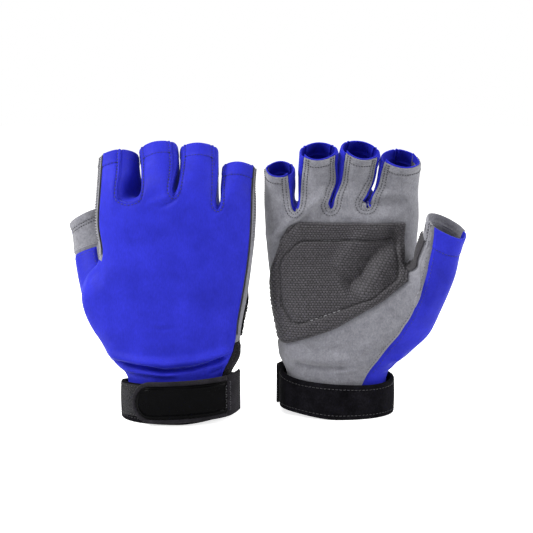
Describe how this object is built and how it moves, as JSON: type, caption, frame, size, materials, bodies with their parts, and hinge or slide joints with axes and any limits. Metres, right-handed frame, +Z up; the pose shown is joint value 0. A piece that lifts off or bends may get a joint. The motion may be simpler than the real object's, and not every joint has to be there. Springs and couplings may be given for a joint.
{
  "type": "sailing gloves",
  "caption": "Short-finger sailing gloves for the right hand: stretch back, suede palm with a padded grip patch, and a wrist cuff closed by a peel-back strap.",
  "frame": {"origin": "centre of the pair's footprint, at the foot of the cuffs", "axes": "+Z up towards the fingertips; +X from the glove that shows its back to the one that shows its palm; +Y away from the viewer"},
  "size_m": [0.2354, 0.072, 0.1649],
  "materials": {
    "stretch_blue": "smooth stretch knit, slight sheen",
    "suede_grey": "matt synthetic suede",
    "grip_black": "matt embossed grip mesh",
    "neoprene_black": "matt neoprene with knit face",
    "foam_grey": "soft foam",
    "tape_black": "hook-and-loop tape",
    "moulded_black": "glossy flexible moulding"
  },
  "bodies": {
    "gloves": {"glove_1_back_panel": "stretch_blue", "glove_1_palm_panel": "suede_grey", "glove_1_thumb_panel": "suede_grey", "glove_1_fourchette_index_middle": "stretch_blue", "glove_1_fourchette_middle_ring": "stretch_blue", "glove_1_fourchette_ring_little": "stretch_blue", "glove_1_vent_gusset": "neoprene_black", "glove_1_palm_patch": "grip_black", "glove_1_palm_pad": "foam_grey", "glove_1_thumb_crotch_patch": "grip_black", "glove_1_cuff_band": "neoprene_black", "glove_1_loop_tape": "tape_black", "glove_2_back_panel": "stretch_blue", "glove_2_palm_panel": "suede_grey", "glove_2_thumb_panel": "suede_grey", "glove_2_fourchette_index_middle": "stretch_blue", "glove_2_fourchette_middle_ring": "stretch_blue", "glove_2_fourchette_ring_little": "stretch_blue", "glove_2_vent_gusset": "neoprene_black", "glove_2_palm_patch": "grip_black", "glove_2_palm_pad": "foam_grey", "glove_2_thumb_crotch_patch": "grip_black", "glove_2_cuff_band": "neoprene_black", "glove_2_loop_tape": "tape_black"},
    "glove_1_strap": {"glove_1_closure_strap": "neoprene_black", "glove_1_hook_tape": "tape_black", "glove_1_strap_tab": "moulded_black"},
    "glove_2_strap": {"glove_2_closure_strap": "neoprene_black", "glove_2_hook_tape": "tape_black", "glove_2_strap_tab": "moulded_black"}
  },
  "joints": [
    {"name": "glove_1_strap_peel", "type": "hinge", "parent": "gloves", "child": "glove_1_strap", "pos_m": [-0.0137, -0.0046, 0.0165], "axis": [0, 0, 1], "range_deg": [0, 110]},
    {"name": "glove_2_strap_peel", "type": "hinge", "parent": "gloves", "child": "glove_2_strap", "pos_m": [0.0091, 0.0046, 0.0165], "axis": [0, 0, 1], "range_deg": [0, 110]}
  ]
}
